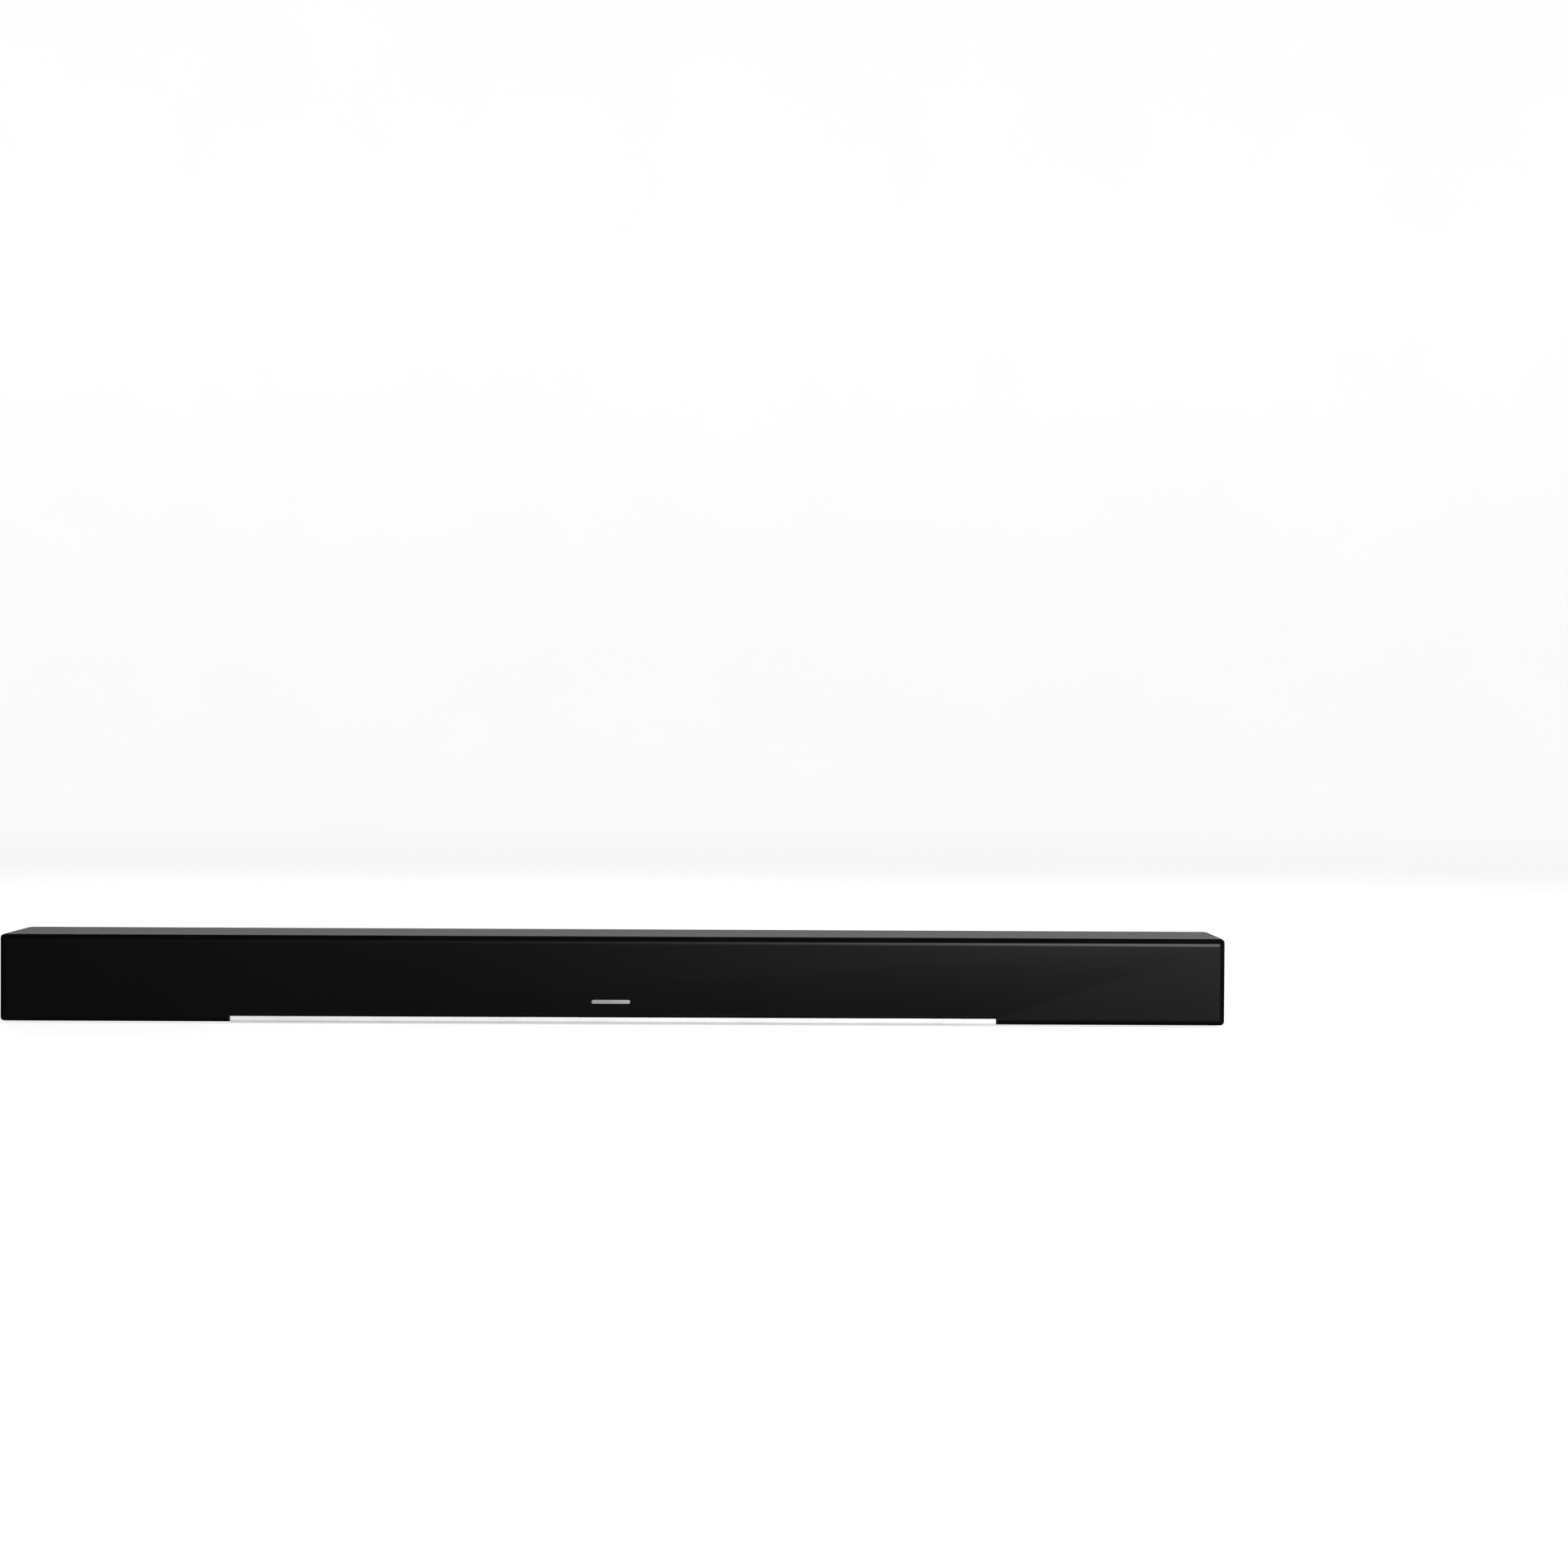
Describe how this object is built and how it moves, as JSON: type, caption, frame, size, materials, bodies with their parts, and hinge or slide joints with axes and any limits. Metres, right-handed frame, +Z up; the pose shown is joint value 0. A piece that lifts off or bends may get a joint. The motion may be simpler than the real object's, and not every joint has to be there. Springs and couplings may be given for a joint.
{
  "type": "soundbar",
  "caption": "Slim soundbar with a cloth front, a dark grey top cover, a silver strip under the front, racetrack woofers, tweeters, rear socket bays, keyhole brackets and side push buttons.",
  "frame": {"origin": "on the table, under the middle of the bar's outer box", "axes": "+X along the bar, to the right seen from the front; the front faces -Y; +Z up"},
  "size_m": [0.95, 0.088, 0.069],
  "materials": {
    "case_black": "fine matt moulded texture",
    "cover_grey": "satin dark grey, fine texture",
    "grille_fabric": "fine black woven cloth, stretched",
    "trim_chrome": "polished silver",
    "smoked_lens": "smoked, glossy",
    "rubber_black": "matt",
    "button_black": "satin, lighter printed symbol",
    "steel_zinc": "zinc plated",
    "magnet_ferrite": "matt grey-black ferrite",
    "cone_paper": "black pressed paper",
    "dome_silk": "coated silk",
    "circuit_board": "green solder mask",
    "heat_sink_aluminium": "extruded",
    "winding_tape": "yellow winding tape",
    "cable_jacket": "flexible jacket"
  },
  "bodies": {
    "case": {"front_baffle": "case_black", "grille_frame": "case_black", "grille_cloth": "grille_fabric", "silver_trim_strip": "trim_chrome", "front_badge": "trim_chrome", "display_lens": "smoked_lens", "top_cover": "cover_grey", "bottom_pan": "case_black", "back_panel": "case_black", "left_end_cap": "case_black", "right_end_cap": "case_black", "foot_front_left": "rubber_black", "foot_front_right": "rubber_black", "foot_rear_left": "rubber_black", "foot_rear_right": "rubber_black", "signal_bay": "case_black", "power_bay": "case_black", "woofer_basket_left": "steel_zinc", "woofer_magnet_left": "magnet_ferrite", "woofer_surround_left": "rubber_black", "tweeter_body_left": "case_black", "tweeter_dome_left": "dome_silk", "woofer_basket_right": "steel_zinc", "woofer_magnet_right": "magnet_ferrite", "woofer_surround_right": "rubber_black", "tweeter_body_right": "case_black", "tweeter_dome_right": "dome_silk", "main_board": "circuit_board", "heat_sink": "heat_sink_aluminium", "power_board": "circuit_board", "power_transformer": "winding_tape", "bulk_capacitor": "case_black", "wireless_module": "circuit_board", "display_board": "circuit_board", "key_board": "circuit_board", "mains_inlet": "case_black", "hdmi_socket": "steel_zinc", "usb_socket": "steel_zinc", "optical_socket": "case_black", "aux_jack": "case_black", "woofer_cable_left": "cable_jacket", "woofer_cable_right": "cable_jacket", "key_cable": "cable_jacket", "mains_lead": "cable_jacket", "display_ribbon": "cable_jacket", "wall_bracket_left": "steel_zinc", "wall_bracket_right": "steel_zinc", "pan_screw_1": "steel_zinc", "pan_screw_2": "steel_zinc", "pan_screw_3": "steel_zinc", "pan_screw_4": "steel_zinc", "pan_screw_5": "steel_zinc", "pan_screw_6": "steel_zinc"},
    "left_cone": {"woofer_cone_left": "cone_paper"},
    "right_cone": {"woofer_cone_right": "cone_paper"},
    "source_key": {"source_button": "button_black"},
    "volume_down_key": {"volume_down_button": "button_black"},
    "volume_up_key": {"volume_up_button": "button_black"},
    "power_key": {"power_button": "button_black"}
  },
  "joints": [
    {"name": "source_press", "type": "slide", "parent": "case", "child": "source_key", "axis": [-1, 0, 0], "range_m": [0, 0.0007], "stiffness_N_per_m": 1500, "springref_m": -0.0002},
    {"name": "volume_down_press", "type": "slide", "parent": "case", "child": "volume_down_key", "axis": [-1, 0, 0], "range_m": [0, 0.0007], "stiffness_N_per_m": 1500, "springref_m": -0.0002},
    {"name": "volume_up_press", "type": "slide", "parent": "case", "child": "volume_up_key", "axis": [-1, 0, 0], "range_m": [0, 0.0007], "stiffness_N_per_m": 1500, "springref_m": -0.0002},
    {"name": "power_press", "type": "slide", "parent": "case", "child": "power_key", "axis": [-1, 0, 0], "range_m": [0, 0.0007], "stiffness_N_per_m": 1500, "springref_m": -0.0002},
    {"name": "left_cone_travel", "type": "slide", "parent": "case", "child": "left_cone", "axis": [0, -1, 0], "range_m": [-0.002, 0.002], "stiffness_N_per_m": 1200, "deforming": ["woofer_surround_left"]},
    {"name": "right_cone_travel", "type": "slide", "parent": "case", "child": "right_cone", "axis": [0, -1, 0], "range_m": [-0.002, 0.002], "stiffness_N_per_m": 1200, "deforming": ["woofer_surround_right"]}
  ]
}
